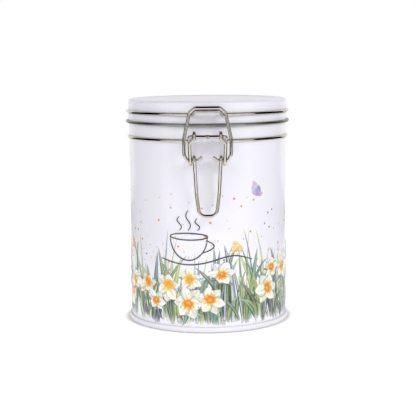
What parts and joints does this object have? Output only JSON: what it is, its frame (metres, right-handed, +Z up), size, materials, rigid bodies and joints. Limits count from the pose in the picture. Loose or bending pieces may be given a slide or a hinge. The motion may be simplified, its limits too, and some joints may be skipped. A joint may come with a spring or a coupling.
{
  "type": "clip-top storage tin",
  "caption": "Round tinplate storage canister with a hinged slip-over lid, a soft seal and a bent-wire lever latch.",
  "frame": {"origin": "on the tin's axis, at the level of the surface that the base rim stands on", "axes": "+Z up along the tin's axis, -Y towards the front with the latch, +X to the viewer's right"},
  "size_m": [0.1109, 0.1287, 0.15],
  "materials": {
    "enamel": "satin",
    "tinplate": "satin",
    "wire": "polished",
    "seal": "matte"
  },
  "bodies": {
    "body": {"body_shell": "enamel", "base_plate": "enamel", "body_wire": "wire"},
    "lid": {"lid_shell": "enamel", "seal_carrier": "tinplate", "seal_ring": "seal", "lid_wire": "wire"},
    "lever": {"latch_lever": "wire"},
    "bail": {"latch_bail": "wire"}
  },
  "joints": [
    {"name": "lid_hinge", "type": "hinge", "parent": "body", "child": "lid", "pos_m": [0, 0.06077, 0.1364], "axis": [-1, 0, 0], "range_deg": [0, 105]},
    {"name": "lever_pivot", "type": "hinge", "parent": "body", "child": "lever", "pos_m": [0, -0.0608, 0.1281], "axis": [-1, 0, 0], "range_deg": [0, 110]},
    {"name": "bail_pivot", "type": "hinge", "parent": "lever", "child": "bail", "pos_m": [0, -0.0587, 0.11299], "axis": [-1, 0, 0], "range_deg": [-165, 0]}
  ],
  "couplings": [
    {"joint": "bail_pivot", "follows": "lever_pivot", "ratio": -1.5}
  ]
}
